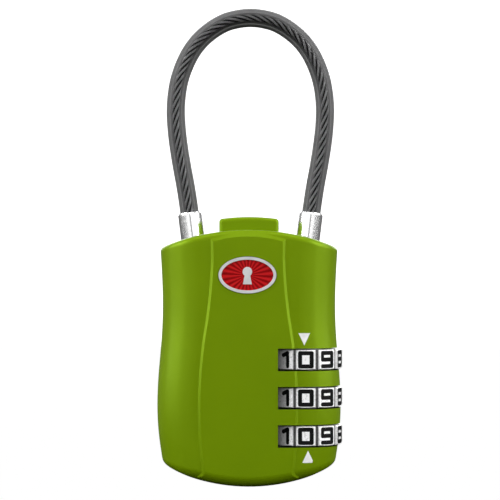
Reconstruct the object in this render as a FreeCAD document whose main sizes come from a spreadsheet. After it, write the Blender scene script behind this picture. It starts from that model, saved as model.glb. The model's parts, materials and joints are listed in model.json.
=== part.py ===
import FreeCAD, Part
import math
import os
import re
import Sketcher
from FreeCAD import Rotation, Vector

# Cable luggage lock with three number dials, hung from the top of its cable loop.
# Millimetres, +Z up, the front faces -Y. Heights are counted from a datum just under the
# case, and every sub-part is then dropped by hang_height, so that the origin of the lock is
# the inside top of the cable loop.

doc = FreeCAD.newDocument("CableLock")
sheet = doc.addObject("Spreadsheet::Sheet", "Sizes")

SIZES = {
    "hang_height": 78.03,         # datum of the heights to the inside top of the loop
    # case
    "case_bottom": 0.31,          # its lowest point
    "case_height": 43.52,         # its highest point
    "case_half_depth": 6.25,
    "case_back": 6.23,            # the back is flat from here
    "case_top_radius": 38.8,
    "case_bottom_radius": 31,
    "case_top_round": 1.0,
    "case_bottom_round": 1.8,
    "panel_x": -0.15,
    "panel_step": 0.25,           # the middle panel stands this far out of the front
    "panel_slope": 1.8,           # inward run of its edge for each millimetre of rise
    "pin_radius": 0.8,
    "pin_length": 7,
    "snug_gap": 0.02,
    # free and fixed ends of the cable
    "loop_shift": 0.24,           # middle of the loop, from the middle of the case
    "ferrule_x": 9.81,            # from the middle of the loop, at the reference height
    "ferrule_z": 42.2,
    "ferrule_tilt": 7,            # degrees outward, going up
    "ferrule_radius": 2,
    "ferrule_top": 4.33,          # along the axis, from the reference height
    "ferrule_bottom": -10.2,
    "ferrule_bore_bottom": 1.5,
    "ferrule_rim": 0.3,
    "neck_radius": 1.45,
    "neck_top": -5.87,
    "neck_bottom": -7.18,
    "neck_cone_end": -10.03,
    "socket_gap": 0.12,
    "groove_middle": -7.95,
    "groove_width": 1.4,
    "groove_radius": 1.35,
    "cross_pin_radius": 0.6,
    "cross_pin_length": 8.4,
    "cable_radius": 1.57,
    "rope_radius": 0.95,
    "cable_gap": 0.03,
    # push button
    "button_width": 10.05,
    "button_depth": 6.6,
    "button_top": 45.72,
    "button_crown": 0.35,
    "button_round": 0.6,
    "button_gap": 0.15,
    "button_travel": 2,
    "flange_width": 11.4,
    "flange_depth": 8,
    "flange_bottom": 39,
    "flange_thick": 0.9,
    "pocket_width": 12,
    "pocket_depth": 8.8,
    "pocket_bottom": 32.2,
    "pocket_top": 40,
    "prong_left": 1.4,
    "prong_width": 1.6,
    "prong_near": 0.75,
    "prong_thick": 1.25,
    "ramp_start": 32.9,           # height of the 45 degree ramp's line above x = 0
    "ramp_gap": 0.1,
    "button_spring_x": -3.2,
    "button_spring_y": -2.6,
    "button_spring_radius": 1.1,
    # latch plate
    "plate_thick": 1.2,
    "plate_gap": 0.25,
    "spine_left": -0.4,
    "spine_right": 1,
    "spine_bottom": 9.9,
    "plate_top": 36.4,
    "arm_bottom": 34.6,
    "hook_bottom": 35.4,
    "hook_tip": -7.16,
    "hook_root": -6.2,
    "fin_tip": 5.38,
    "fin_low": 2.0,               # above the middle of its dial
    "fin_high": 2.8,
    "boss_bottom": 33.4,
    "boss_right": 3.4,
    "boss_thick": 1.4,
    "latch_spring_z": 28,
    "latch_spring_radius": 0.9,
    "latch_spring_end": 6.4,
    "latch_spring_wire": 0.2,
    # dials
    "dial_x": 9.53,
    "dial_low_z": 8.89,           # middle of the lowest dial
    "dial_pitch": 6.41,
    "dial_thick": 3.3,
    "dial_flat": 6.15,            # axis to a flat
    "dial_reach": 6.35,           # axis to a corner of a flat
    "dial_edge": 0.2,
    "dial_groove": 0.5,
    "dial_bore": 3.4,
    "notch_radius": 0.45,
    "notch_height": 1.5,
    "clear_bore": 4.1,
    "digit_width": 1.95,          # between the middles of its strokes
    "digit_height": 2.22,
    "digit_stroke": 0.35,         # half a stroke
    "digit_depth": 0.2,
    "digit_fill": 0.13,
    "slot_left": 4.88,
    "slot_height": 3.75,
    "slot_radius": 6.65,
    # code sleeves, spindle and reset
    "sleeve_bore": 1.05,
    "sleeve_radius": 3.3,
    "sleeve_low": -1.5,           # from the middle of the dial
    "disc_low": 1.9,
    "disc_high": 2.9,
    "sleeve_high": 4.8,
    "disc_radius": 3.9,
    "lug_radius": 0.4,
    "lug_height": 1.2,
    "gate_width": 1.6,
    "gate_floor": 1.85,
    "stack_bore": 4.2,
    "stack_top": 26.25,
    "spindle_radius": 1,
    "spindle_bottom": 3.7,
    "spindle_top": 28.6,
    "collar_radius": 2.2,
    "collar_low": 6.59,
    "collar_high": 7.34,
    "clip_thick": 0.4,
    "clip_radius": 2,
    "clip_low": 26.61,
    "spring_seat": 30.3,
    "spindle_spring_radius": 1.3,
    "spindle_spring_wire": 0.2,
    "reset_hole": 0.6,
    "reset_travel": 1.5,
    # detent spring: three leaf fingers beside the dials
    "detent_angle": 108,          # clockwise from the front, seen from above
    "detent_near": 6.55,
    "detent_thick": 0.25,
    "detent_tip": 1,
    "detent_root": -2,
    "detent_back": -3.2,
    "finger_height": 1.8,
    # service key cylinder
    "key_x": -5,
    "key_housing_radius": 3.6,
    "key_housing_low": 1.32,
    "key_housing_high": 12.9,
    "key_bore": 2.65,
    "plug_radius": 2.6,
    "plug_low": 0.9,
    "plug_high": 13,
    "keyway_width": 1.2,
    "keyway_high": 10,
    "keyhole_radius": 3.2,
    "wafer_pitch": 2.1,
    "wafer_first": 3,
    "wafer_thick": 0.7,
    "wafer_width": 2.2,
    "wafer_depth": 4.7,
    "wafer_gap": 0.1,
    "cam_thick": 0.9,
    "cam_reach": 4.2,
    "cam_width": 2,
    "cam_post": 0.8,
    "cam_clip": 0.35,
    # badge and index marks
    "badge_x": -0.27,
    "badge_z": 35.93,
    "badge_width": 9.7,
    "badge_height": 6.15,
    "badge_rim": 0.5,
    "badge_gap": 0.1,
    "badge_seat": 5.9,            # depth of its seat, from the middle of the case
    "badge_front": 6.64,
    "enamel_back": 6.1,
    "enamel_front": 6.5,
    "symbol_radius": 0.8,
    "symbol_foot": 1.5,
    "symbol_drop": 2.1,
    "mark_width": 1.95,
    "mark_height": 2.05,
    "mark_high_x": 9.27,
    "mark_high": 26.18,
    "mark_low_x": 9.9,
    "mark_low": 4.45,
    "mark_depth": 0.3,
}
for row, (alias, number) in enumerate(SIZES.items(), start=1):
    sheet.set(f"A{row}", alias)
    sheet.set(f"B{row}", str(number))
    sheet.setAlias(f"B{row}", alias)
doc.recompute()

DIALS = 3
DIGITS = 10
FRONT = -90                       # degrees: the direction of -Y seen from above
# Half widths of the case at chosen heights: a slight waist above the dials, widest below.
CASE_SIDES = [(-2, 14.1), (4.3, 14.66), (9, 15.33), (13.2, 15.57), (20, 15.29),
              (28.8, 14.67), (36, 14.79), (41, 15.08), (46, 15.35)]
# Half widths of the middle panel, which runs out under the case: bulged below, drawn in above.
PANEL_SIDE = [(6.92, -1), (8.2, 13.6), (6.95, 28), (6.32, 33.2), (6, 38.5), (6.05, 41.75)]
PANEL_TOP = 42.6
SHELL_PINS = [(-11.3, 9), (-11.3, 26), (-3.5, 22), (4.3, 3.4), (12.3, 29.5)]
# Middle line of the cable, counted from the middle of the loop and its inside top: the half on
# the fixed end's side, from the ferrule to the arch. The free end's half is its mirror image.
CABLE_HALF = [(10.0, -34.3), (10.69, -28.68), (11.82, -22.81), (12.59, -17.45), (12.75, -12.62),
              (11.87, -7.69), (9.36, -2.75), (5.20, 0.56), (1.59, 1.55)]
# Strokes of each numeral, between the corners of a box one wide and two high.
STROKES = {
    "top": ((0, 2), (1, 2)), "middle": ((0, 1), (1, 1)), "bottom": ((0, 0), (1, 0)),
    "high_left": ((0, 1), (0, 2)), "high_right": ((1, 1), (1, 2)),
    "low_left": ((0, 0), (0, 1)), "low_right": ((1, 0), (1, 1)),
    "stem": ((0.85, 0), (0.85, 2)), "flag": ((0.4, 1.65), (0.85, 2)),
}
NUMERALS = [
    "top bottom high_left high_right low_left low_right", "stem flag",
    "top high_right middle low_left bottom", "top high_right middle low_right bottom",
    "high_left middle high_right low_right", "top high_left middle low_right bottom",
    "top high_left middle low_left low_right bottom", "top high_right low_right",
    "top middle bottom high_left high_right low_left low_right",
    "top high_left high_right middle low_right bottom",
]
sub_parts = []


def size(alias):
    return float(sheet.get(alias))


def formula(words):
    """Point each cell name in a formula at the sheet."""
    return re.sub(r"[a-z]+(_[a-z]+)+", lambda match: "Sizes." + match.group(), words)


def bind(target, **formulas):
    """Tie properties to the sheet; x, y and z stand for the position."""
    for name, words in formulas.items():
        path = f".Placement.Base.{name}" if name in "xyz" else name
        target.setExpression(path, formula(words))
    return target


def sub_part(target, label, x="0", y="0", z="0"):
    """Name a finished sub-part and put it at its place on the hanging lock."""
    target.Label = label
    bind(target, x=x, y=y, z=f"{z} - hang_height")
    sub_parts.append(target)
    return target


def block(name, x, y, z, length, width, height):
    """Box between x, y, z and the far corner, all as formulas."""
    solid = doc.addObject("Part::Box", name)
    return bind(solid, Length=length, Width=width, Height=height, x=x, y=y, z=z)


def rod(name, radius, low, high, x="0", y="0"):
    """Upright cylinder between two heights."""
    solid = doc.addObject("Part::Cylinder", name)
    return bind(solid, Radius=radius, Height=f"{high} - ({low})", x=x, y=y, z=low)


def cross_rod(name, radius, length, x, z):
    """Cylinder along Y, centred on the middle of the case."""
    solid = doc.addObject("Part::Cylinder", name)
    solid.Placement.Rotation = Rotation(Vector(1, 0, 0), -90)
    return bind(solid, Radius=radius, Height=length, x=x, y=f"-({length}) / 2", z=z)


def joined(name, solids):
    union = doc.addObject("Part::MultiFuse", name)
    union.Shapes = solids
    return union


def cut(name, base, tools):
    result = doc.addObject("Part::Cut", name)
    result.Base = base
    result.Tool = tools[0] if len(tools) == 1 else joined(name + "_tools", tools)
    return result


def ring(name, outer, inner, low, high, x="0", y="0"):
    tools = [rod(name + "_bore", inner, f"{low} - 1", f"{high} + 1", x, y)]
    return cut(name, rod(name + "_disc", outer, low, high, x, y), tools)


def coil(label, radius, wire, length, turns, x, y, z, flat=False):
    """Compression spring: a round wire swept along a helix; flat lays its axis along +X."""
    helix = doc.addObject("Part::Helix", label + "_helix")
    bind(helix, Radius=radius, Height=f"{length} - 2 * {wire}",
         Pitch=f"({length} - 2 * {wire}) / {turns}")
    section = doc.addObject("Part::Circle", label + "_section")
    section.Placement.Rotation = Rotation(Vector(1, 0, 0), 90)
    bind(section, Radius=wire, x=radius)
    sweep = doc.addObject("Part::Sweep", label + "_sweep")
    sweep.Sections = [section]
    sweep.Spine = (helix, [])
    sweep.Solid = True
    sweep.Frenet = True
    if flat:
        sweep.Placement.Rotation = Rotation(Vector(0, 1, 0), 90)
    along = {"x": f"{x} + {wire}", "z": z} if flat else {"x": x, "z": f"{z} + {wire}"}
    return sub_part(sweep, label, x=along["x"], y=y, z=along["z"])


def sketched(name, plane, corners):
    """Body with one closed sketch whose corners are tied to the sheet."""
    body = doc.addObject("PartDesign::Body", name)
    return body, sketch_on(body, plane, corners)


def sketch_on(body, plane, corners):
    sketch = body.newObject("Sketcher::SketchObject", f"{body.Name}_outline")
    base = [item for item in body.Origin.OriginFeatures if item.Role == plane][0]
    sketch.AttachmentSupport = [(base, "")]
    sketch.MapMode = "FlatFace"
    count = len(corners)
    spots = [Vector(math.cos(math.tau * i / count), math.sin(math.tau * i / count), 0)
             for i in range(count)]
    for i in range(count):
        sketch.addGeometry(Part.LineSegment(spots[i], spots[(i + 1) % count]), False)
    for i, corner in enumerate(corners):
        sketch.addConstraint(Sketcher.Constraint("Coincident", i, 1, (i - 1) % count, 2))
        for kind, words in zip(("DistanceX", "DistanceY"), corner):
            number = sketch.addConstraint(Sketcher.Constraint(kind, -1, 1, i, 1, 1.0))
            sketch.setExpression(f"Constraints[{number}]", formula(words))
    return sketch


def plate(name, plane, corners, thick):
    """Flat piece of even thickness, half of it each side of its plane."""
    body, sketch = sketched(name, plane, corners)
    pad = body.newObject("PartDesign::Pad", name + "_pad")
    pad.Profile = sketch
    pad.SideType = "Symmetric"
    bind(pad, Length=thick)
    return body


def turned(name, corners):
    """Round piece: radius and height corners revolved about the upright axis."""
    body, sketch = sketched(name, "XZ_Plane", corners)
    revolution = body.newObject("PartDesign::Revolution", name + "_turn")
    revolution.Profile = sketch
    revolution.ReferenceAxis = (sketch, ["V_Axis"])
    revolution.Angle = 360
    return body


def feature(label, shape, x="0", z="0"):
    """Sub-part whose shape comes from Part's own functions."""
    piece = doc.addObject("Part::Feature", label)
    piece.Shape = shape
    return sub_part(piece, label, x=x, z=z)


# ---- shapes in the case's own coordinates ----

def upright(radius, low, high, x=0, y=0):
    return Part.makeCylinder(radius, high - low, Vector(x, y, low))


def along_y(radius, x, z, length):
    return Part.makeCylinder(radius, length, Vector(x, -length / 2, z), Vector(0, 1, 0))


def room(x_range, y_range, z_range):
    low = Vector(x_range[0], y_range[0], z_range[0])
    return Part.makeBox(x_range[1] - low.x, y_range[1] - low.y, z_range[1] - low.z, low)


def three_point(first, middle, last):
    return Part.Arc(Vector(*first), Vector(*middle), Vector(*last)).toShape()


def line(first, last):
    return Part.LineSegment(Vector(*first), Vector(*last)).toShape()


def side_section(half_width, height):
    """Level outline of the case: two flats joined by full rounds."""
    deep = size("case_half_depth")
    flat = half_width - deep
    bend = deep * math.sqrt(0.5)
    edges = []
    for side in (1, -1):
        edges.append(line((-side * flat, -side * deep, height), (side * flat, -side * deep, height)))
        edges.append(three_point((side * flat, -side * deep, height),
                                 (side * (flat + bend), -side * bend, height),
                                 (side * (flat + deep), 0, height)))
        edges.append(three_point((side * (flat + deep), 0, height),
                                 (side * (flat + bend), side * bend, height),
                                 (side * flat, side * deep, height)))
    return Part.Wire(edges)


def case_form():
    """Outer form of both shells together, with its rounded top and bottom edges."""
    top, bottom = size("case_top_radius"), size("case_bottom_radius")
    tall, wide, deep = size("case_height"), 16.5, 2 * size("case_half_depth")
    base = size("case_bottom")
    low = base + bottom - math.sqrt(bottom ** 2 - wide ** 2)
    high = tall - top + math.sqrt(top ** 2 - wide ** 2)
    face = Part.Face(Part.Wire([
        three_point((-wide, -deep, low), (0, -deep, base), (wide, -deep, low)),
        line((wide, -deep, low), (wide, -deep, high)),
        three_point((wide, -deep, high), (0, -deep, tall), (-wide, -deep, high)),
        line((-wide, -deep, high), (-wide, -deep, low))]))
    tube = Part.makeLoft([side_section(half, z) for z, half in CASE_SIDES], True, False)
    form = tube.common(face.extrude(Vector(0, 2 * deep, 0)))
    upper = [e for e in form.Edges if e.BoundBox.ZMin > 40 and e.BoundBox.ZMax < tall + 1]
    form = form.makeFillet(size("case_top_round"), upper)
    lower = [e for e in form.Edges if e.BoundBox.ZMin > -0.1 and e.BoundBox.ZMax < 4]
    return form.makeFillet(size("case_bottom_round"), lower)


def panel_outline(grow, y):
    """Edge of the middle panel at a depth, moved outward by grow."""
    middle = size("panel_x")
    side = [(x + grow, z) for x, z in PANEL_SIDE]
    side[0] = (side[0][0], side[0][1] - grow)
    side[-1] = (side[-1][0], side[-1][1] + grow)
    right = [(middle + x, y, z) for x, z in side]
    left = [(middle - x, y, z) for x, z in side]
    return Part.Wire([
        three_point(*right[0:3]), three_point(*right[2:5]), line(right[4], right[5]),
        three_point(right[5], (middle, y, PANEL_TOP + grow), left[5]),
        line(left[5], left[4]), three_point(*left[4:1:-1]), three_point(*left[2::-1]),
        line(left[0], right[0])])


def panel(form):
    """The raised middle panel: it follows the front's own form, one step further out."""
    step, slope, face = size("panel_step"), size("panel_slope"), size("case_half_depth")
    reach = 0.4
    near = panel_outline(slope * (step / 2 + reach), reach - face)
    far = panel_outline(-slope * (step / 2 + reach), -face - step - reach)
    prism = Part.makeLoft([near, far], True, True)
    return form.translated(Vector(0, -step, 0)).common(prism)


def ferrule_place(side):
    """Where a ferrule's own axis stands: side is +1 for the fixed end, -1 for the free one."""
    turn = Rotation(Vector(0, 1, 0), side * size("ferrule_tilt"))
    across = side * size("ferrule_x") + size("loop_shift")
    return FreeCAD.Placement(Vector(across, 0, size("ferrule_z")), turn)


def cross_pin_spot():
    """Middle of the pin beside the fixed ferrule's groove, on its outer side."""
    off = size("groove_radius") + size("cross_pin_radius") + 0.05
    return ferrule_place(1).multVec(Vector(off, 0, size("groove_middle")))


def detent_place():
    """The detent's own axes: +X away from the dials' axis, +Y along its fingers."""
    turn = Rotation(Vector(0, 0, 1), FRONT - size("detent_angle"))
    return FreeCAD.Placement(Vector(size("dial_x"), 0, 0), turn)


def dial_heights():
    return [size("dial_low_z") + i * size("dial_pitch") for i in range(DIALS)]


def cavities():
    """Everything that is hollow in the closed case."""
    gap, axis = size("plate_gap"), size("dial_x")
    thin = size("plate_thick") / 2 + gap
    travel = size("button_travel")
    slots, stack = size("slot_height") / 2, size("stack_bore")
    clip_high = size("clip_low") + size("clip_thick") + size("reset_travel") + 0.1
    spring = size("spindle_spring_radius") + size("spindle_spring_wire") + 0.2
    hollows = [upright(stack, dial_heights()[0], size("stack_top"), axis),
               upright(size("clip_radius") + 0.2, size("stack_top"), clip_high, axis),
               upright(spring, clip_high, size("spring_seat"), axis),
               upright(size("collar_radius") + 0.2, size("collar_low") - 0.1,
                       dial_heights()[0], axis),
               upright(size("sleeve_bore"), size("spindle_bottom") - 0.1,
                       dial_heights()[0], axis),
               upright(size("reset_hole"), -1, size("spindle_bottom"), axis)]
    for middle in dial_heights():
        hollows.append(upright(size("slot_radius"), middle - slots, middle + slots, axis))
        hollows.append(room((size("slot_left"), 20), (-10, 10), (middle - slots, middle + slots)))
        hollows.append(room((0, axis - stack + 1), (-thin, thin),
                            (middle + size("fin_low") - 0.3, middle + size("fin_high") + 0.3)))
    # latch plate: spine, and the arm's way through to the free end's socket
    spine = (size("spine_left") - gap, size("spine_right") + travel + gap)
    hollows.append(room(spine, (-thin, thin),
                        (size("spine_bottom") - gap, size("pocket_bottom") + gap)))
    hollows.append(room((size("hook_tip") - gap, size("pocket_width") / 2), (-thin, thin),
                        (size("arm_bottom") - 0.3, size("plate_top") + 0.3)))
    spring_room = size("latch_spring_radius") + size("latch_spring_wire") + 0.2
    start = size("spine_right")
    hollows.append(Part.makeCylinder(spring_room, size("latch_spring_end") - start,
                                     Vector(start, 0, size("latch_spring_z")), Vector(1, 0, 0)))
    # button: its pocket and the opening above
    half, deep = size("pocket_width") / 2, size("pocket_depth") / 2
    hollows.append(room((-half, half), (-deep, deep), (size("pocket_bottom"), size("pocket_top"))))
    half = size("button_width") / 2 + size("button_gap")
    deep = size("button_depth") / 2 + size("button_gap")
    opening = room((-half, half), (-deep, deep), (size("pocket_top") - 1, 50))
    corners = [e for e in opening.Edges if e.BoundBox.ZLength > 5]
    hollows.append(opening.makeFillet(size("button_round") + size("button_gap"), corners))
    # sockets for both ends of the cable, and the pin across the fixed one
    for side in (1, -1):
        socket = Part.makeCylinder(size("ferrule_radius") + size("socket_gap"), 20,
                                   Vector(0, 0, size("ferrule_bottom") - 0.2))
        socket.Placement = ferrule_place(side)
        hollows.append(socket)
    spot, snug = cross_pin_spot(), size("snug_gap")
    hollows.append(along_y(size("cross_pin_radius") + snug, spot.x, spot.z,
                           size("cross_pin_length") + 2 * snug))
    for x, z in SHELL_PINS:
        hollows.append(along_y(size("pin_radius") + snug, x, z, size("pin_length") + 2 * snug))
    # service key cylinder
    key = size("key_x")
    hollows.append(upright(size("key_housing_radius") + snug, size("key_housing_low") - snug,
                           size("key_housing_high") + snug, key))
    hollows.append(upright(size("keyhole_radius"), -1, 2, key))
    hollows.append(upright(size("cam_reach") + 0.2, size("key_housing_high"), 15.2, key))
    # leaf spring beside the dials
    low, high = dial_heights()[0] - slots, dial_heights()[-1] + slots
    near, thick = size("detent_near"), size("detent_thick")
    leaf = room((near - 0.1, near + thick + 0.05), (size("detent_back") - 0.05,
                                                    size("detent_tip") + 0.1), (low, high))
    leaf.Placement = detent_place()
    hollows.append(leaf)
    return hollows


def badge_outline(inset, depth, front):
    """Oval disc of the badge, inset from its rim, between two depths."""
    oval = Part.Ellipse(Vector(0, 0, 0), size("badge_width") / 2 - inset,
                        size("badge_height") / 2 - inset).toShape()
    disc = Part.Face(Part.Wire([oval])).extrude(Vector(0, 0, front - depth))
    disc.Placement = FreeCAD.Placement(Vector(size("badge_x"), -depth, size("badge_z")),
                                       Rotation(Vector(1, 0, 0), 90))
    return disc


def keyhole_symbol(depth, front):
    """Round head on a widening foot, as a prism between two depths."""
    radius, foot, drop = size("symbol_radius"), size("symbol_foot") / 2, size("symbol_drop")
    middle = Vector(size("badge_x"), -depth, size("badge_z") + 0.55)
    forward = Vector(0, depth - front, 0)
    head = Part.makeCylinder(radius, front - depth, middle, Vector(0, -1, 0))
    corners = [(-radius * 0.45, 0), (-foot, -drop), (foot, -drop), (radius * 0.45, 0)]
    wire = Part.makePolygon([middle + Vector(x, 0, z) for x, z in corners + corners[:1]])
    return head.fuse(Part.Face(wire).extrude(forward))


def mark_prism(x, base, point):
    """Triangle beside the dials, from its base height to its point's height."""
    half, deep = size("mark_width") / 2, size("case_half_depth") + 1
    corners = [(x - half, base), (x + half, base), (x, point), (x - half, base)]
    wire = Part.makePolygon([Vector(x, -deep, z) for x, z in corners])
    return Part.Face(wire).extrude(Vector(0, 1.1 + size("mark_depth"), 0))


def make_case():
    """Front and rear shell, and what is set into the front."""
    form = case_form()
    whole = form.fuse(panel(form)).removeSplitter()
    hollow = whole.cut(cavities())
    far = 20
    rear = hollow.common(room((-far, far), (0, size("case_back")), (-far, 3 * far)))
    front = hollow.common(room((-far, far), (-far, 0), (-far, 3 * far)))
    tall = size("mark_height")
    marks = [mark_prism(size("mark_high_x"), size("mark_high"), size("mark_high") - tall),
             mark_prism(size("mark_low_x"), size("mark_low"), size("mark_low") + tall)]
    seat = badge_outline(-size("badge_gap"), size("badge_seat"), 10)
    feature("front_shell", front.cut(marks + [seat]))
    feature("rear_shell", rear)
    feature("index_marks", Part.Compound([form.common(mark) for mark in marks]))
    cup = badge_outline(0, size("badge_seat"), size("badge_front")).cut(
        badge_outline(size("badge_rim"), size("enamel_back"), 10))
    cup = cup.fuse(keyhole_symbol(size("badge_seat") + 0.1, size("enamel_front") + 0.06))
    feature("badge_bezel", cup.removeSplitter())
    enamel = badge_outline(size("badge_rim"), size("enamel_back"), size("enamel_front"))
    feature("badge_enamel", enamel.cut(keyhole_symbol(size("badge_seat"), 8)))


def make_case_pins():
    pins = [cross_rod(f"shell_pin_{i}", "pin_radius", "pin_length", str(x), str(z))
            for i, (x, z) in enumerate(SHELL_PINS)]
    sub_part(joined("shell_pin_set", pins), "shell_pins")
    spot = cross_pin_spot()
    cross = cross_rod("cross_pin", "cross_pin_radius", "cross_pin_length", "0", "0")
    sub_part(cross, "fixed_end_pin", x=str(spot.x), y="-cross_pin_length / 2", z=str(spot.z))


# ---- cable and its ends ----

def make_ferrules():
    bore = "cable_radius + cable_gap"
    top = [("ferrule_radius", "ferrule_top - ferrule_rim"),
           ("ferrule_radius - ferrule_rim / 2", "ferrule_top"),
           (bore, "ferrule_top"), (bore, "ferrule_bore_bottom"), ("0", "ferrule_bore_bottom")]
    foot = [("0", "ferrule_bottom"), ("neck_radius + 0.35", "ferrule_bottom")]
    shoulder = "neck_top + ferrule_radius - neck_radius"
    free = foot + [("ferrule_radius", "neck_cone_end"), ("neck_radius", "neck_bottom"),
                   ("neck_radius", "neck_top"), ("ferrule_radius", shoulder)]
    half = "groove_width / 2"
    fixed = foot + [("ferrule_radius", "ferrule_bottom + 0.2"),
                    ("ferrule_radius", f"groove_middle - {half}"),
                    ("groove_radius", f"groove_middle - {half}"),
                    ("groove_radius", f"groove_middle + {half}"),
                    ("ferrule_radius", f"groove_middle + {half}")]
    for label, side, lower in (("fixed_end_ferrule", 1, fixed), ("free_end_ferrule", -1, free)):
        body = turned(label + "_body", lower + top)
        body.Placement.Rotation = ferrule_place(side).Rotation
        sub_part(body, label, x=f"{side} * ferrule_x + loop_shift", z="ferrule_z")


def cable_route():
    """Corner points of the middle line, from the fixed end over the arch to the free end."""
    middle = size("loop_shift")
    fixed = [Vector(middle + x, 0, z) for x, z in CABLE_HALF]
    return fixed + [Vector(middle - x, 0, z) for x, z in reversed(CABLE_HALF)]


def cable_path():
    """Straight runs joined by tangent arcs, each as large as its two runs allow."""
    route = cable_route()
    edges, radii = [], []
    start = route[0]
    for before, corner, after in zip(route, route[1:], route[2:]):
        back, ahead = (before - corner), (after - corner)
        turn = math.pi - back.getAngle(ahead)
        trim = 0.45 * min(back.Length, ahead.Length)
        radii.append(trim / math.tan(turn / 2))
        first = corner + back * (trim / back.Length)
        last = corner + ahead * (trim / ahead.Length)
        inward = (back / back.Length + ahead / ahead.Length).normalize()
        middle = corner + inward * (radii[-1] / math.cos(turn / 2) - radii[-1])
        edges.append(line(start, first))
        edges.append(three_point(first, middle, last))
        start = last
    edges.append(line(start, route[-1]))
    print("cable arc radii", [round(radius, 1) for radius in radii])
    return Part.Wire(edges)


def cable_tube(path, radius):
    route = cable_route()
    section = Part.Wire([Part.Circle(route[0], route[1] - route[0], radius).toShape()])
    tube = path.makePipeShell([section], True, False)
    print("cable radius", radius, "volume ratio",
          round(tube.Volume / (math.pi * radius ** 2 * path.Length), 4))
    return tube


def make_cable():
    """Twisted wire rope in a clear jacket; both are plain tubes along the same line."""
    path = cable_path()
    print("cable length", round(path.Length, 2))
    outer = cable_tube(path, size("cable_radius"))
    inner = cable_tube(path, size("rope_radius"))
    feature("cable_jacket", outer.cut(inner), z="hang_height")
    feature("wire_rope", inner, z="hang_height")


# ---- button and latch ----

def make_button():
    """Cap with an arched top, a flange that keeps it in, and a prong that drives the latch."""
    cap = doc.addObject("Part::Common", "button_cap")
    cap.Base = block("button_column", "-button_width / 2", "-button_depth / 2",
                     "flange_bottom + flange_thick / 2", "button_width", "button_depth",
                     "button_top + 1 - flange_bottom")
    crown = "(button_width ^ 2 / 8 / button_crown)"
    cap.Tool = cross_rod("button_crown", crown, "button_depth + 2", "0",
                         f"button_top - {crown}")
    doc.recompute()
    rounded = doc.addObject("Part::Fillet", "button_rounded")
    rounded.Base = cap
    tall = size("button_top") - size("flange_bottom")
    chosen = [i for i, edge in enumerate(cap.Shape.Edges, start=1)
              if edge.BoundBox.ZLength > tall / 2 or edge.BoundBox.ZMin > size("button_top") - 1]
    rounded.Edges = [(i, size("button_round"), size("button_round")) for i in chosen]
    flange = block("button_flange", "-flange_width / 2", "-flange_depth / 2", "flange_bottom",
                   "flange_width", "flange_depth", "flange_thick")
    tip = "prong_left + ramp_start + ramp_gap"
    prong = plate("button_prong", "XZ_Plane", [
        ("prong_left", tip), ("prong_left + prong_width", f"{tip} + prong_width"),
        ("prong_left + prong_width", "flange_bottom + 0.2"),
        ("prong_left", "flange_bottom + 0.2")], "prong_thick")
    bind(prong, y="prong_near + prong_thick / 2")
    sub_part(joined("button_union", [rounded, flange, prong]), "push_button")
    coil("button_spring", "button_spring_radius", "0.2", "flange_bottom - pocket_bottom", "6",
         "button_spring_x", "button_spring_y", "pocket_bottom")


def make_latch():
    """Flat plate: three fins read the dials, the hook holds the free end, the boss is its ramp."""
    corners = [("spine_left", "spine_bottom"), ("spine_right", "spine_bottom")]
    for i in range(DIALS):
        middle = f"dial_low_z + {i} * dial_pitch"
        corners += [("spine_right", f"{middle} + fin_low"), ("fin_tip", f"{middle} + fin_low"),
                    ("fin_tip", f"{middle} + fin_high"), ("spine_right", f"{middle} + fin_high")]
    corners += [("spine_right", "boss_bottom"), ("boss_right", "boss_bottom"),
                ("boss_right", "plate_top"), ("hook_tip", "plate_top"),
                ("hook_tip", "hook_bottom"), ("hook_root", "arm_bottom"), ("spine_left", "arm_bottom")]
    flat = plate("latch_flat", "XZ_Plane", corners, "plate_thick")
    boss = plate("latch_boss", "XZ_Plane", [
        ("boss_bottom - ramp_start", "boss_bottom"), ("boss_right", "boss_bottom"),
        ("boss_right", "boss_right + ramp_start")], "boss_thick")
    bind(boss, y="(plate_thick + boss_thick) / 2")
    sub_part(joined("latch_union", [flat, boss]), "latch_plate")
    coil("latch_spring", "latch_spring_radius", "latch_spring_wire",
         "latch_spring_end - spine_right", "6", "spine_right", "0", "latch_spring_z", flat=True)


# ---- dials, code sleeves and spindle ----

def stroke(first, last):
    """One stroke of a numeral, standing out of the XZ plane towards -Y."""
    deep = size("digit_depth") + 0.3
    radius = size("digit_stroke")
    ends = [Part.makeCylinder(radius, deep, point, Vector(0, -1, 0)) for point in (first, last)]
    along = last - first
    bar = Part.makeBox(along.Length, deep, 2 * radius, Vector(0, -deep, -radius))
    tilt = math.degrees(math.atan2(along.z, along.x))
    bar.Placement = FreeCAD.Placement(first, Rotation(Vector(0, 1, 0), -tilt))
    return ends[0].fuse([ends[1], bar])


def numeral(value):
    """Strokes of one number, standing on the flat that faces the front."""
    wide, tall = size("digit_width"), size("digit_height") / 2
    floor = size("digit_depth") - size("dial_flat")
    strokes = []
    for word in NUMERALS[value].split():
        ends = [Vector((x - 0.5) * wide, floor, (z - 1) * tall) for x, z in STROKES[word]]
        strokes.append(stroke(*ends))
    shape = strokes[0].fuse(strokes[1:])
    shape.rotate(Vector(0, 0, 0), Vector(0, 0, 1), -360 / DIGITS * value)
    return shape


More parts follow.
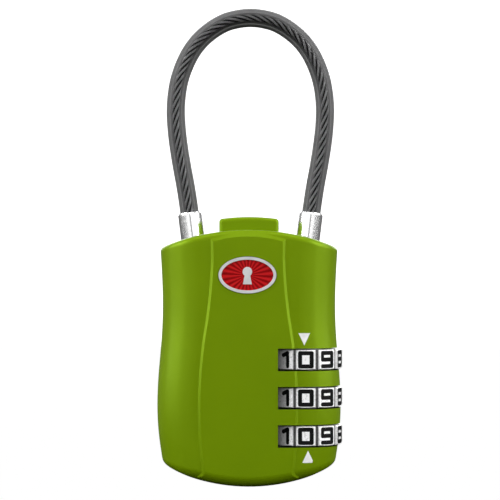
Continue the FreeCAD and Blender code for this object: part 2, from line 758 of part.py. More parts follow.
def dial_blank():
    """Ten flats with a groove between each two, and a bore with ten notches."""
    half, flat, reach = size("dial_thick") / 2, size("dial_flat"), size("dial_reach")
    edge, step = size("dial_edge"), 360 / DIGITS
    corner = flat / math.cos(math.radians(step / 2))
    corners = [Vector(corner * math.cos(math.radians(FRONT + (i + 0.5) * step)),
                      corner * math.sin(math.radians(FRONT + (i + 0.5) * step)), -half)
               for i in range(DIGITS + 1)]
    prism = Part.Face(Part.makePolygon(corners)).extrude(Vector(0, 0, 2 * half))
    profile = Part.makePolygon([
        Vector(0, 0, -half), Vector(reach - edge - 0.1, 0, -half), Vector(reach, 0, edge - half),
        Vector(reach, 0, half - edge), Vector(reach - edge - 0.1, 0, half), Vector(0, 0, half),
        Vector(0, 0, -half)])
    turned_edge = Part.Face(profile).revolve(Vector(0, 0, 0), Vector(0, 0, 1), 360)
    tools = [upright(size("dial_bore"), -half, half),
             upright(size("clear_bore"), size("notch_height") - half, half)]
    for i in range(DIGITS):
        angle = math.radians(FRONT + i * step)
        bore = size("dial_bore")
        tools.append(upright(size("notch_radius"), -half, size("notch_height") - half,
                             bore * math.cos(angle), bore * math.sin(angle)))
        angle += math.radians(step / 2)
        tools.append(upright(size("dial_groove"), -half, half,
                             corner * math.cos(angle), corner * math.sin(angle)))
    return prism.common(turned_edge).cut(tools)


def make_dials():
    numerals = [numeral(value) for value in range(DIGITS)]
    dial = dial_blank().cut(numerals)
    fills = []
    flat = size("dial_flat") - size("digit_depth")
    for value, shape in enumerate(numerals):
        layer = room((-2, 2), (-flat - size("digit_fill"), -flat), (-2, 2))
        layer.rotate(Vector(0, 0, 0), Vector(0, 0, 1), -360 / DIGITS * value)
        fills.append(shape.common(layer))
    for i in range(DIALS):
        for label, shape in (("dial", dial), ("dial_numerals", Part.Compound(fills))):
            feature(f"{label}_{i + 1}", shape, x="dial_x",
                    z=f"dial_low_z + {DIALS - 1 - i} * dial_pitch")


def code_sleeve(name):
    """Sleeve with five lugs, and a gated disc that the latch fin can only enter at the code."""
    core = rod(name + "_core", "sleeve_radius", "sleeve_low", "disc_low")
    disc = rod(name + "_disc", "disc_radius", "disc_low", "disc_high")
    hub = rod(name + "_hub", "clip_radius", "disc_high", "sleeve_high")
    lugs = []
    for i in range(5):
        angle = FRONT + i * 72
        lugs.append(rod(f"{name}_lug_{i}", "lug_radius", "sleeve_low", "sleeve_low + lug_height",
                        f"sleeve_radius * cos({angle} deg)", f"sleeve_radius * sin({angle} deg)"))
    bore = rod(name + "_bore", "sleeve_bore", "sleeve_low - 1", "sleeve_high + 1")
    length, thick = "disc_radius + 1 - gate_floor", "disc_high - disc_low"
    code_gate = block(name + "_gate", "-disc_radius - 1", "-gate_width / 2", "disc_low",
                      length, "gate_width", thick)
    relief = block(name + "_relief", "-gate_width / 2", "gate_floor", "disc_low",
                   "gate_width", length, thick)
    return cut(name, joined(name + "_solid", [core, disc, hub] + lugs), [bore, code_gate, relief])


def make_sleeves():
    for i in range(DIALS):
        label = f"code_sleeve_{i + 1}"
        sub_part(code_sleeve(label + "_cut"), label, x="dial_x",
                 z=f"dial_low_z + {DIALS - 1 - i} * dial_pitch")


def make_spindle():
    """Reset spindle: a pin through the hole in the bottom lifts it with all three sleeves."""
    spindle = turned("spindle_body", [
        ("0", "spindle_bottom"), ("spindle_radius", "spindle_bottom"),
        ("spindle_radius", "collar_low"), ("collar_radius", "collar_low"),
        ("collar_radius", "collar_high"), ("spindle_radius", "collar_high"),
        ("spindle_radius", "spindle_top"), ("0", "spindle_top")])
    sub_part(spindle, "reset_spindle", x="dial_x")
    clip = ring("spindle_ring", "clip_radius", "spindle_radius + snug_gap", "0", "clip_thick")
    sub_part(clip, "spindle_clip", x="dial_x", z="clip_low")
    coil("spindle_spring", "spindle_spring_radius", "spindle_spring_wire",
         "spring_seat - clip_low - clip_thick", "3", "dial_x", "0", "clip_low + clip_thick")


def make_detent():
    """Leaf spring standing beside the dials, one finger to each."""
    pieces = [block("detent_strip", "detent_near", "detent_back",
                    "dial_low_z - slot_height / 2 + 0.1", "detent_thick",
                    "detent_root - detent_back",
                    f"{DIALS - 1} * dial_pitch + slot_height - 0.2")]
    for i in range(DIALS):
        middle = f"dial_low_z + {i} * dial_pitch"
        pieces.append(block(f"detent_finger_{i}", "detent_near", "detent_root",
                            f"{middle} - finger_height / 2", "detent_thick",
                            "detent_tip - detent_root", "finger_height"))
    spring = joined("detent_union", pieces)
    spring.Placement.Rotation = detent_place().Rotation
    sub_part(spring, "detent_spring", x="dial_x")


# ---- service key cylinder ----

def make_key_cylinder():
    housing = ring("key_ring", "key_housing_radius", "key_bore", "key_housing_low",
                   "key_housing_high")
    sub_part(housing, "key_cylinder_housing", x="key_x")
    keyway = block("keyway", "-keyway_width / 2", "-plug_radius - 1", "plug_low - 1",
                   "keyway_width", "1.55 * plug_radius + 1", "keyway_high + 1 - plug_low")
    slots, wafers = [], []
    for i in range(4):
        low = f"wafer_first + {i} * wafer_pitch"
        slots.append(block(f"wafer_slot_{i}", "-wafer_width / 2 - wafer_gap / 2", "-plug_radius",
                           f"{low} - wafer_gap / 2", "wafer_width + wafer_gap", "2 * plug_radius",
                           "wafer_thick + wafer_gap"))
        leaf = block(f"wafer_leaf_{i}", "-wafer_width / 2", "-wafer_depth / 2", low,
                     "wafer_width", "wafer_depth", "wafer_thick")
        window = block(f"wafer_window_{i}", "-keyway_width / 2 - 0.05", f"-{1.7 - 0.2 * i}",
                       f"{low} - 1", "keyway_width + 0.1", "2.9", "wafer_thick + 2")
        wafers.append(cut(f"wafer_{i}", leaf, [window]))
    solid = joined("plug_solid", [rod("plug_barrel", "plug_radius", "plug_low", "plug_high"),
                                  rod("plug_post", "cam_post", "plug_high - 1",
                                      "plug_high + cam_thick + cam_clip + 0.1")])
    sub_part(cut("plug_cut", solid, [keyway] + slots), "key_plug", x="key_x")
    sub_part(joined("wafer_union", wafers), "key_wafers", x="key_x")
    arm = joined("cam_solid", [
        rod("cam_round", "cam_width", "plug_high", "plug_high + cam_thick"),
        block("cam_arm", "-cam_width / 2", "0", "plug_high", "cam_width", "cam_reach - 0.15",
              "cam_thick")])
    hole = rod("cam_hole", "cam_post + snug_gap", "plug_high - 1", "plug_high + 2")
    sub_part(cut("cam_cut", arm, [hole]), "key_cam", x="key_x")
    clip = ring("cam_ring", "1.6 * cam_post", "cam_post + snug_gap", "0", "cam_clip")
    sub_part(clip, "key_cam_clip", x="key_x", z="plug_high + cam_thick")


def check(objects):
    """Stop if anything failed to rebuild or a sub-part is not a sound solid."""
    for item in objects:
        if "Invalid" in item.State or "Error" in item.State:
            raise RuntimeError(f"{item.Label} did not rebuild: {item.State}")
    for piece in sub_parts:
        shape = piece.Shape
        if shape.isNull() or not shape.isValid() or not shape.Solids:
            raise RuntimeError(f"{piece.Label} is not a sound solid")
        print(f"{piece.Label:24s} {len(shape.Solids):3d} solids {shape.Volume:9.2f} mm3")


make_case()
make_case_pins()
make_ferrules()
make_cable()
make_button()
make_latch()
make_dials()
make_sleeves()
make_spindle()
make_detent()
make_key_cylinder()
doc.recompute()
check(doc.Objects)
os.makedirs("parts", exist_ok=True)
for piece in sub_parts:
    piece.Shape.exportStep(f"parts/{piece.Label}.step")
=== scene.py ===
import json
import math

import bpy
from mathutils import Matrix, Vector


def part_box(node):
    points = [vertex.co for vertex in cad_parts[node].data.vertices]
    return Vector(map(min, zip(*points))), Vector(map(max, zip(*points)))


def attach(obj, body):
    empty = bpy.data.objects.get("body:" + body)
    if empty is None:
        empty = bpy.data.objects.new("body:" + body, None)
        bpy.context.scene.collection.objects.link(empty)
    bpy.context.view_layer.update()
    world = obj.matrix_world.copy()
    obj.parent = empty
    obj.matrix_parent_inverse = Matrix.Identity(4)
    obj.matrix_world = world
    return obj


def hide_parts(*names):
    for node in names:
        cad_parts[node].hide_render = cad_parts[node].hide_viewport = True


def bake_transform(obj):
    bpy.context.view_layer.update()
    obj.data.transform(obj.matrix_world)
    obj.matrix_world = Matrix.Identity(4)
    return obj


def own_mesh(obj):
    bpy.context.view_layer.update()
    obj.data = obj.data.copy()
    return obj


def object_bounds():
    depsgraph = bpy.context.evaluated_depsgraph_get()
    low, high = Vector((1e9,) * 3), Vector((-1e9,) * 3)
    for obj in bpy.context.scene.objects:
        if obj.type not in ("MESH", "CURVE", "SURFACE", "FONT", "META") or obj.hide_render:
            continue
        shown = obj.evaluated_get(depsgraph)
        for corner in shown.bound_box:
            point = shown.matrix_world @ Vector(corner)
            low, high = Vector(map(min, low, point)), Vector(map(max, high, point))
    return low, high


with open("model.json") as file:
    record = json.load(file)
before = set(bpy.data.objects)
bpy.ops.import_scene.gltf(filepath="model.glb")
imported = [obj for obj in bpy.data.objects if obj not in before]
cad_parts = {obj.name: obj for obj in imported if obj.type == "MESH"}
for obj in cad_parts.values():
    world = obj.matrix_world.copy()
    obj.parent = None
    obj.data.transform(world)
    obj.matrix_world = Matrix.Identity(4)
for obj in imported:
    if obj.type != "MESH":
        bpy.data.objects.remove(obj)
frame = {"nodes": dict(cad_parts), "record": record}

# Cable luggage lock. Metres, in the frame of the model: the origin is the inside top of the
# cable loop, +Z is up and the front faces -Y.

cad_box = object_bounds()
NODES = frame["nodes"]

# Middle line of the cable: the points that steer its half on the fixed end's side, from that end
# up to the top of the loop, as (distance from the loop's middle, height). The other half is its
# mirror image.
LOOP_SHIFT = 0.00024
CABLE_HALF = [(0.01000, -0.03430), (0.01069, -0.02868), (0.01182, -0.02281),
              (0.01259, -0.01745), (0.01275, -0.01262), (0.01187, -0.00769),
              (0.00936, -0.00275), (0.00520, 0.00056), (0.00159, 0.00155)]
LINE_ORDER = 3
LINE_RESOLUTION = 24
CABLE_STEP = 0.00035           # between the rings of a tube

CABLE_RADIUS = 0.00157
JACKET_BORE = 0.00096
JACKET_SIDES = 32
ROPE_RADIUS = 0.00095
CORE_RADIUS = 0.00055
CORE_SIDES = 12
STRANDS = 7
STRAND_RADIUS = 0.00019
STRAND_LAY = 0.0116            # length of one turn of a strand
WIRES = 6
WIRE_RADIUS = 0.00006
WIRE_SIDES = 6
WIRE_LAY = 0.0034              # length of one turn of a wire in its strand

PICTURE_SPAN = 0.085           # height of the picture at the lock
CAMERA_DISTANCE = 0.43
CAMERA_AIM = (0.00017, -0.03791)
CAMERA_NEAR = 0.01
SENSOR_MM = 36.0

# Softboxes: name, bearing in degrees from the front towards +X, height above the lock's middle,
# distance from it, (width, height), radiance.
SOFTBOXES = [
    ("left", -84, 0.2, 0.45, (0.30, 0.44), 4.0),
    ("right", 84, 0.2, 0.45, (0.30, 0.44), 3.6),
    ("strip_left", -58, 0.2, 0.45, (0.16, 0.44), 5.4),
    ("strip_right", 58, 0.2, 0.45, (0.16, 0.44), 5.4),
    ("front_left", -25, 0.14, 0.8, (0.6, 0.4), 1.3),
    ("front_right", 25, 0.14, 0.8, (0.6, 0.4), 1.3),
    ("back", 180, 0.12, 0.26, (0.3, 0.2), 5.0),
    ("top", 0, 0.55, 0.15, (0.5, 0.5), 1.5),
]

# Floor: a level disc with a rim that bends up into a wall.
FLOOR_BELOW = 0.03
FLOOR_RADIUS = 1.4
FLOOR_BEND = 0.6
FLOOR_WALL = 2.5
FLOOR_STEPS = 12
FLOOR_SIDES = 48

# The dials and the slots in the case that they turn in: the round wall is about the dials' axis,
# and the flat one lies to its left.
DIALS = ("dial_1", "dial_2", "dial_3")
DIAL_FACES = 10
SLOT_RADIUS = 0.00665
SLOT_HEIGHT = 0.00375
SLOT_LEFT = 0.00488
WALL_MARGIN = 0.00003          # keeps the walls themselves inside the space of painted shade
LEVEL_MARGIN = 0.00001

BADGE_RAYS = 24

# Coil springs: the joint that works each one, the axis it lies along (0 is X), the end of its
# box that stays put, and how far the other end travels.
SPRINGS = [("button_spring", "button_press", 2, 0, 0.002),
           ("latch_spring", "latch_slide", 0, 1, 0.002),
           ("spindle_spring", "reset_slide", 2, 1, 0.0015)]

LIME = (0.158, 0.262, 0.000)
LIME_DEEP = (0.147, 0.248, 0.000)
SLOT_SHADE = (0.004, 0.005, 0.002)
WIRE_BRIGHT = (0.95, 0.95, 0.955)
WIRE_DULL = (0.82, 0.82, 0.825)
CORE_SHADE = (0.005, 0.005, 0.005)
CHROME = (0.94, 0.94, 0.94)
GROOVE_SHADE = (0.05, 0.05, 0.05)
ENAMEL_DEEP = (0.19, 0.001, 0.002)
ENAMEL_BRIGHT = (0.50, 0.010, 0.012)
SMOKE_DEEP = (0.094, 0.094, 0.095)
SMOKE_PALE = (0.112, 0.112, 0.113)
MARK_WHITE = (0.85, 0.85, 0.85)
MARK_SHADE = (0.72, 0.72, 0.72)
INK = (0.004, 0.004, 0.004)
INK_PALE = (0.008, 0.008, 0.008)
SILVER = (0.92, 0.92, 0.93)
POLISHED = (0.97, 0.97, 0.97)
STEEL = (0.56, 0.56, 0.57)
SPRING_STEEL = (0.5, 0.5, 0.52)
ZINC = (0.46, 0.46, 0.48)
BRASS = (0.70, 0.48, 0.18)
NICKEL = (0.66, 0.62, 0.54)


def link(thing):
    """Put a new object in the scene."""
    bpy.context.scene.collection.objects.link(thing)
    return thing


def centre(label):
    """Middle of a CAD node's box."""
    low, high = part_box(label)
    return [(a + b) / 2 for a, b in zip(low, high)]


# ---- camera, lights and floor ----

def make_camera():
    """Level camera ahead of the lock."""
    data = bpy.data.cameras.new("camera")
    data.sensor_width = SENSOR_MM
    data.lens = SENSOR_MM * CAMERA_DISTANCE / PICTURE_SPAN
    data.clip_start = CAMERA_NEAR
    camera = link(bpy.data.objects.new("camera", data))
    camera.location = (CAMERA_AIM[0], -CAMERA_DISTANCE, CAMERA_AIM[1])
    camera.rotation_euler = (math.radians(90), 0, 0)
    bpy.context.scene.camera = camera


def make_softbox(name, bearing, height, distance, size, radiance):
    """Soft light aimed at the lock's middle, and hidden from the camera."""
    middle = Vector((0, 0, (cad_box[0][2] + cad_box[1][2]) / 2))
    turn = math.radians(bearing)
    data = bpy.data.lights.new(name, "AREA")
    data.shape = "RECTANGLE"
    data.size, data.size_y = size
    data.energy = radiance * math.pi * size[0] * size[1]
    light = link(bpy.data.objects.new(name, data))
    light.location = middle + Vector((distance * math.sin(turn), -distance * math.cos(turn),
                                      height))
    light.rotation_euler = (middle - light.location).to_track_quat("-Z", "Y").to_euler()
    light.visible_camera = False


def make_lights():
    for softbox in SOFTBOXES:
        make_softbox(*softbox)
    make_world()
    bpy.context.scene.view_settings.view_transform = "Standard"


def make_world():
    """Dim room: darkest ahead, behind and below, lighter to the sides and overhead."""
    world = bpy.data.worlds.new("studio")
    world.use_nodes = True
    place = node(world, "ShaderNodeTexCoord")
    parts = node(world, "ShaderNodeSeparateXYZ", {"Vector": place.outputs["Generated"]})
    aside = calc(world, "ABSOLUTE", parts.outputs["X"])
    wide = spread(world, aside, low=0.10, high=0.55, span=(0.3, 0.95))
    tall = spread(world, parts.outputs["Z"], low=0.04, high=1.0, span=(-0.30, 0.35))
    above = spread(world, parts.outputs["Z"], low=0.0, high=0.25, span=(0.2, 0.9))
    level = calc(world, "MULTIPLY_ADD", wide, tall, above)
    back = world.node_tree.nodes["Background"]
    world.node_tree.links.new(level, back.inputs["Strength"])
    back.inputs["Color"].default_value = (1, 1, 1, 1)
    bpy.context.scene.world = world


def make_floor():
    """One pale sheet: a level floor that sweeps up into a wall all round."""
    level = cad_box[0][2] - FLOOR_BELOW
    outline = []
    for i in range(FLOOR_STEPS + 1):
        angle = math.pi / 2 * i / FLOOR_STEPS
        outline.append((FLOOR_RADIUS + FLOOR_BEND * math.sin(angle),
                        level + FLOOR_BEND * (1 - math.cos(angle))))
    outline.append((FLOOR_RADIUS + FLOOR_BEND, level + FLOOR_WALL))
    rings = [[(radius * math.cos(math.tau * i / FLOOR_SIDES),
               radius * math.sin(math.tau * i / FLOOR_SIDES), z)
              for i in range(FLOOR_SIDES)] for radius, z in outline]
    points = [point for ring in rings for point in ring]
    mesh = smooth_mesh("studio_floor", points, [tuple(range(FLOOR_SIDES))] + skin(rings, 0))
    floor = link(bpy.data.objects.new("studio_floor", mesh))
    white, shader = material("studio_white", (0.9, 0.9, 0.9), roughness=0.9)
    shader.inputs["Emission Color"].default_value = (1, 1, 1, 1)
    shader.inputs["Emission Strength"].default_value = 1.0
    mesh.materials.append(white)
    floor.visible_diffuse = False
    floor.visible_glossy = False
    floor.visible_shadow = False


# ---- materials ----

def material(name, colour, roughness=0.5, metallic=0.0, **sockets):
    """New material and its shader; other sockets are given by name, with _ for a space."""
    made = bpy.data.materials.new(name)
    made.use_nodes = True
    shader = made.node_tree.nodes["Principled BSDF"]
    shader.inputs["Base Color"].default_value = (*colour, 1)
    shader.inputs["Roughness"].default_value = roughness
    shader.inputs["Metallic"].default_value = metallic
    for socket, value in sockets.items():
        shader.inputs[socket.replace("_", " ")].default_value = value
    return made, shader


def node(made, kind, values=(), **settings):
    """Add a node; values set its sockets, and a linked socket is given as an output."""
    new = made.node_tree.nodes.new(kind)
    for name, value in settings.items():
        setattr(new, name, value)
    for name, value in dict(values).items():
        if isinstance(value, bpy.types.NodeSocket):
            made.node_tree.links.new(value, new.inputs[name])
        else:
            new.inputs[name].default_value = value
    return new


def calc(made, operation, *values):
    """Result of a maths node; each value is a number or an output."""
    return node(made, "ShaderNodeMath", enumerate(values), operation=operation).outputs[0]


def coordinates(made):
    """The object's own X, Y and Z, in metres."""
    place = node(made, "ShaderNodeTexCoord")
    return node(made, "ShaderNodeSeparateXYZ", {"Vector": place.outputs["Object"]}).outputs


def noise(made, scale, detail=2.0, stretch=(1, 1, 1)):
    """Noise in the object's own metres; scale is in cycles per metre."""
    place = node(made, "ShaderNodeTexCoord")
    sized = node(made, "ShaderNodeMapping", {"Vector": place.outputs["Object"],
                                             "Scale": stretch})
    field = node(made, "ShaderNodeTexNoise", {"Vector": sized.outputs["Vector"],
                                              "Scale": scale, "Detail": detail})
    return field.outputs["Fac"]


def spread(made, value, low, high, span=(0.3, 0.7)):
    """Map a field from its own span onto the range from low to high."""
    mapped = node(made, "ShaderNodeMapRange", {
        "Value": value, "From Min": span[0], "From Max": span[1], "To Min": low, "To Max": high})
    return mapped.outputs["Result"]


def tint(made, factor, first, second):
    """Mix two colours by a 0 to 1 field; each is three numbers or an output."""
    first, second = (end if isinstance(end, bpy.types.NodeSocket) else (*end, 1)
                     for end in (first, second))
    mix = node(made, "ShaderNodeMix", {"Factor": factor, "A": first, "B": second},
               data_type="RGBA")
    return mix.outputs["Result"]


def wire_up(made, shader, **sockets):
    """Link outputs to the shader's sockets, given by name with _ for a space."""
    for name, output in sockets.items():
        made.node_tree.links.new(output, shader.inputs[name.replace("_", " ")])


def bumped(made, shader, height, distance):
    """Fine relief; distance is its full height in metres."""
    relief = node(made, "ShaderNodeBump", {"Height": height, "Distance": distance,
                                           "Strength": 1.0})
    wire_up(made, shader, Normal=relief.outputs["Normal"])


def lime_paint(name):
    """Satin paint: fine orange peel, a slow drift of colour and gloss, and near-black painted
    shade on the walls of the dials' slots.
    """
    made, shader = material(name, LIME, metallic=0.25, Specular_IOR_Level=0.1)
    drift, gloss, peel = noise(made, 120, 3), noise(made, 900, 3), noise(made, 3500, 2)
    colour = tint(made, spread(made, drift, 0, 1), LIME_DEEP, LIME)
    # Near-black painted shade on the walls of the dials' slots.
    wire_up(made, shader, Base_Color=tint(made, painted_slot_shade(made), colour, SLOT_SHADE),
            Roughness=spread(made, gloss, low=0.30, high=0.36))
    bumped(made, shader, peel, 0.000012)
    return made


def painted_slot_shade(made):
    """1 on the walls of the dials' slots, which get near-black painted shade, and 0 elsewhere.
    """
    place = coordinates(made)
    across = calc(made, "SUBTRACT", place["X"], centre(DIALS[0])[0])
    flat = node(made, "ShaderNodeCombineXYZ", {"X": across, "Y": place["Y"]})
    away = node(made, "ShaderNodeVectorMath", {0: flat.outputs[0]}, operation="LENGTH")
    round_wall = calc(made, "LESS_THAN", away.outputs["Value"], SLOT_RADIUS + WALL_MARGIN)
    left_wall = calc(made, "GREATER_THAN", place["X"], SLOT_LEFT - WALL_MARGIN)
    level = [calc(made, "COMPARE", place["Z"], centre(label)[2], SLOT_HEIGHT / 2 + LEVEL_MARGIN)
             for label in DIALS]
    any_level = calc(made, "MAXIMUM", calc(made, "MAXIMUM", level[0], level[1]), level[2])
    return calc(made, "MULTIPLY", any_level, calc(made, "MAXIMUM", round_wall, left_wall))


def metal(name, colour, roughness, grain=2500, relief=0.000006, stretch=(1, 1, 1), dull=0.8):
    """Metal with fine grain. Stretch draws the grain out along the axes where it is small, and
    dull is how dark its patches are against the colour."""
    made, shader = material(name, colour, metallic=1.0)
    fine, patches = noise(made, grain, 3, stretch), noise(made, grain / 8, 2)
    darker = tuple(part * dull for part in colour)
    wire_up(made, shader, Base_Color=tint(made, spread(made, patches, 0, 1), darker, colour),
            Roughness=spread(made, fine, low=roughness * 0.8, high=roughness * 1.25))
    bumped(made, shader, fine, relief)
    return made


def rope_steel():
    """Bright wires; the core they are laid round is painted nearly black as shade between the
    strands.
    """
    made, shader = material("cable_steel", (0.9, 0.9, 0.91), metallic=0.6)
    core = node(made, "ShaderNodeAttribute", attribute_name="core")
    grain = noise(made, 2500, 3)
    wires = tint(made, spread(made, grain, 0, 1), WIRE_DULL, WIRE_BRIGHT)
    # The core is painted nearly black as shade in the gaps between the strands.
    wire_up(made, shader, Base_Color=tint(made, core.outputs["Fac"], wires, CORE_SHADE),
            Roughness=spread(made, grain, low=0.32, high=0.45))
    bumped(made, shader, grain, 0.00001)
    return made


def dial_chrome():
    """Satin chrome, with painted shade darkening the grooves between the flats."""
    made, shader = material("dial_chrome", (0.9, 0.9, 0.9), metallic=0.2)
    place = coordinates(made)
    across = calc(made, "SUBTRACT", place["X"], centre(DIALS[0])[0])
    turn = calc(made, "ARCTAN2", place["Y"], across)
    wave = calc(made, "COSINE", calc(made, "MULTIPLY", turn, DIAL_FACES))
    grain = noise(made, 2500, 3)
    wire_up(made, shader,
            # Painted shade darkens the grooves between the flats.
            Base_Color=tint(made, spread(made, wave, 0, 1, span=(0.85, 0.97)), CHROME, GROOVE_SHADE),
            Roughness=spread(made, grain, low=0.24, high=0.34))
    bumped(made, shader, grain, 0.000004)
    return made


def paint(name, colour, shade, roughness):
    """Flat paint, mottled between a colour and a shade of it."""
    made, shader = material(name, colour, Specular_IOR_Level=0.06)
    mottle, gloss, relief = noise(made, 1500, 3), noise(made, 2500, 2), noise(made, 5000, 2)
    wire_up(made, shader, Base_Color=tint(made, spread(made, mottle, 0, 1), shade, colour),
            Roughness=spread(made, gloss, low=roughness * 0.85, high=roughness * 1.15))
    bumped(made, shader, relief, 0.000005)
    return made


def red_enamel():
    """Clear red enamel over engine-turned rays that meet behind the keyhole."""
    made, shader = material("badge_enamel", (0.4, 0.01, 0.01), roughness=0.18,
                            Specular_IOR_Level=0.15)
    middle = centre("badge_bezel")
    place = coordinates(made)
    across = calc(made, "SUBTRACT", place["X"], middle[0])
    up = calc(made, "SUBTRACT", place["Z"], middle[2])
    turn = calc(made, "ARCTAN2", up, across)
    wave = calc(made, "SINE", calc(made, "MULTIPLY", turn, BADGE_RAYS))
    wire_up(made, shader, Base_Color=tint(made, spread(made, wave, 0, 1, span=(-1, 1)),
                                          ENAMEL_DEEP, ENAMEL_BRIGHT))
    return made


def clear_vinyl():
    """Smoke-grey jacket: seen through head on, and closing up towards its edges."""
    made, shader = material("cable_vinyl", (0.08, 0.08, 0.081), roughness=0.4,
                            Specular_IOR_Level=0.06)
    edge = node(made, "ShaderNodeLayerWeight", {"Blend": 0.5})
    alpha = spread(made, edge.outputs["Facing"], low=0.04, high=1.0, span=(0.05, 0.30))
    wire_up(made, shader, Alpha=alpha,
            Base_Color=tint(made, spread(made, noise(made, 400, 2), 0, 1),
                            SMOKE_DEEP, SMOKE_PALE))
    bumped(made, shader, noise(made, 1200, 2), 0.00001)
    return made


def dress(looks):
    """Give each CAD node the material of its slot in the record."""
    for entry in frame["record"]["subparts"]:
        item = NODES[entry["node"]]
        item.data.materials.clear()
        item.data.materials.append(looks[entry["material_slot"]])


def make_materials():
    """All the looks, by the names of the record's slots."""
    return {
        "case_paint": lime_paint("case_paint"),
        "button_paint": lime_paint("button_paint"),
        "mark_paint": paint("mark_paint", MARK_WHITE, MARK_SHADE, 0.5),
        "badge_silver": metal("badge_silver", SILVER, 0.42, relief=0.000002),
        "badge_enamel": red_enamel(),
        "steel_pins": metal("steel_pins", STEEL, 0.35, stretch=(1, 0.05, 1)),
        "ferrule_chrome": metal("ferrule_chrome", POLISHED, 0.18, relief=0.0, dull=0.96),
        "cable_vinyl": clear_vinyl(),
        "cable_steel": rope_steel(),
        "spring_steel": metal("spring_steel", SPRING_STEEL, 0.3),
        "latch_steel": metal("latch_steel", STEEL, 0.35, stretch=(1, 1, 0.08)),
        "dial_chrome": dial_chrome(),
        "numeral_paint": paint("numeral_paint", INK, INK_PALE, 0.5),
        "sleeve_zinc": metal("sleeve_zinc", ZINC, 0.5, grain=4000, relief=0.00002),
        "cylinder_brass": metal("cylinder_brass", BRASS, 0.3, stretch=(1, 1, 0.1)),
        "plug_nickel": metal("plug_nickel", NICKEL, 0.25, stretch=(1, 1, 0.1)),
    }


# ---- cable ----

def cable_line():
    """Evenly spaced points along the smooth line that CABLE_HALF steers, and its length."""
    fixed = [Vector((LOOP_SHIFT + x, 0, z)) for x, z in CABLE_HALF]
    route = fixed + [Vector((LOOP_SHIFT - x, 0, z)) for x, z in reversed(CABLE_HALF)]
    curve = bpy.data.curves.new("cable_line", "CURVE")
    curve.dimensions = "3D"
    curve.resolution_u = LINE_RESOLUTION
    spline = curve.splines.new("NURBS")
    spline.points.add(len(route) - 1)
    for target, point in zip(spline.points, route):
        target.co = (*point, 1)
    spline.order_u = LINE_ORDER
    spline.use_endpoint_u = True
    holder = bpy.data.objects.new("cable_line", curve)
    mesh = bpy.data.meshes.new_from_object(holder)
    found = [vertex.co.copy() for vertex in mesh.vertices]
    bpy.data.objects.remove(holder)
    bpy.data.curves.remove(curve)
    bpy.data.meshes.remove(mesh)
    length = [0.0]
    for before, after in zip(found, found[1:]):
        length.append(length[-1] + (after - before).length)
    count = round(length[-1] / CABLE_STEP)
    even, index = [], 0
    for i in range(count + 1):
        goal = length[-1] * i / count
        while index < len(found) - 2 and length[index + 1] < goal:
            index += 1
        share = (goal - length[index]) / (length[index + 1] - length[index])
        even.append(found[index].lerp(found[index + 1], share))
    return even, length[-1]


def directions(points):
    """Unit direction of travel at each point."""
    ends = [points[1] - points[0]] + [b - a for a, b in zip(points, points[2:])]
    ends.append(points[-1] - points[-2])
    return [end.normalized() for end in ends]


def around(line, radius, lay, phase):
    """Helix about a line that lies in or near the XZ plane, one turn in each lay length."""
    turned = []
    travelled = 0.0
    for i, (point, ahead) in enumerate(zip(line, directions(line))):
        travelled += (point - line[i - 1]).length if i else 0.0
        side = ahead.cross(Vector((0, 1, 0)))
        angle = phase + math.tau * travelled / lay
        turned.append(point + radius * (math.cos(angle) * Vector((0, 1, 0))
                                        + math.sin(angle) * side))
    return turned


def tube_rings(points, radius, sides):
    """Rings of points round a line, one at each of its points."""
    rings = []
    for point, ahead in zip(points, directions(points)):
        across = ahead.cross(Vector((0, 1, 0))).normalized()
        upright = across.cross(ahead)
        rings.append([point + radius * (math.cos(math.tau * i / sides) * upright
                                        + math.sin(math.tau * i / sides) * across)
                      for i in range(sides)])
    return rings


def skin(rings, offset, inward=False):
    """Faces between neighbouring rings of a tube whose first vertex is at offset."""
    sides = len(rings[0])
    faces = []
    for row in range(len(rings) - 1):
        for i in range(sides):
            a, b = offset + row * sides + i, offset + row * sides + (i + 1) % sides
            quad = (a, b, b + sides, a + sides)
            faces.append(quad[::-1] if inward else quad)
    return faces


def smooth_mesh(name, points, faces):
    mesh = bpy.data.meshes.new(name)
    mesh.from_pydata(points, [], faces)
    mesh.validate()
    for face in mesh.polygons:
        face.use_smooth = True
    return mesh


def new_piece(name, points, faces, looks, slot):
    """New object for the model, with the look of its slot."""
    piece = link(bpy.data.objects.new(name, smooth_mesh(name, points, faces)))
    piece.data.materials.append(looks[slot])
    return piece


def solid_tubes(paths, radius, sides):
    """Closed tubes along several paths, in one mesh."""
    points, faces = [], []
    for path in paths:
        rings = tube_rings(path, radius, sides)
        offset = len(points)
        points += [point for ring in rings for point in ring]
        faces += skin(rings, offset)
        faces.append(tuple(offset + i for i in reversed(range(sides))))
        last = offset + (len(rings) - 1) * sides
        faces.append(tuple(last + i for i in range(sides)))
    return points, faces


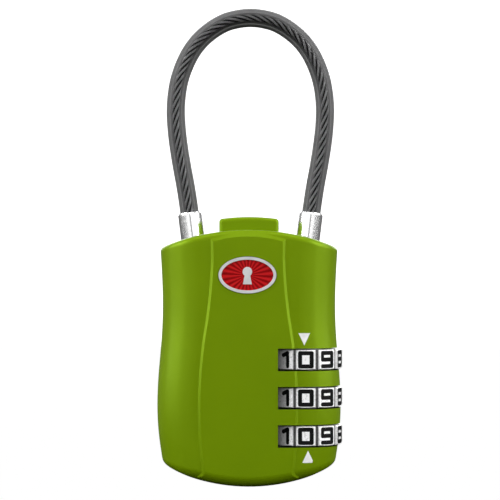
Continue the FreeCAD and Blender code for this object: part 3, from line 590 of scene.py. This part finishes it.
def make_rope(looks, line):
    """Seven strands of six wires, laid round a core painted dark as shade between the strands.
    """
    paths = []
    lay_radius = ROPE_RADIUS - STRAND_RADIUS
    for i in range(STRANDS):
        strand = around(line, lay_radius, STRAND_LAY, math.tau * i / STRANDS)
        for wire in range(WIRES):
            paths.append(around(strand, STRAND_RADIUS - WIRE_RADIUS, -WIRE_LAY,
                                math.tau * wire / WIRES))
    points, faces = solid_tubes(paths, WIRE_RADIUS, WIRE_SIDES)
    core_points, core_faces = solid_tubes([line], CORE_RADIUS, CORE_SIDES)
    faces += [tuple(len(points) + i for i in face) for face in core_faces]
    rope = new_piece("rope_strands", points + core_points, faces, looks, "cable_steel")
    depth = rope.data.attributes.new("core", "FLOAT", "POINT")
    depth.data.foreach_set("value", [0.0] * len(points) + [1.0] * len(core_points))
    return rope


def make_jacket(looks, line):
    """Vinyl tube with a wall, closed at both ends round the rope."""
    outer = tube_rings(line, CABLE_RADIUS, JACKET_SIDES)
    inner = tube_rings(line, JACKET_BORE, JACKET_SIDES)
    points = [point for ring in outer + inner for point in ring]
    wall = len(outer) * JACKET_SIDES
    faces = skin(outer, 0) + skin(inner, wall, inward=True)
    for row, flip in ((0, False), (len(outer) - 1, True)):
        for i in range(JACKET_SIDES):
            a, b = row * JACKET_SIDES + i, row * JACKET_SIDES + (i + 1) % JACKET_SIDES
            c, d = a + wall, b + wall
            faces.append((a, b, d, c) if flip else (b, a, c, d))
    return new_piece("vinyl_jacket", points, faces, looks, "cable_vinyl")


def make_cable(looks):
    """The cable in its jacket, in place of the CAD cable nodes."""
    line, length = cable_line()
    jacket = make_jacket(looks, line)
    rope = make_rope(looks, line)
    for piece, replaced in ((jacket, "cable_jacket"), (rope, "wire_rope")):
        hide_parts(replaced)
        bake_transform(piece)


# ---- springs ----

def make_springs():
    """Each coil spring as a copy of its CAD node, hung on the root body."""
    for label, joint, way, seat, travel in SPRINGS:
        rigid = NODES[label]
        spring = link(bpy.data.objects.new(label + "_coil", rigid.data.copy()))
        spring.matrix_world = rigid.matrix_world
        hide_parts(label)
        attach(spring, "root")
        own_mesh(spring)


make_camera()
make_lights()
looks = make_materials()
make_floor()
dress(looks)
make_cable(looks)
make_springs()
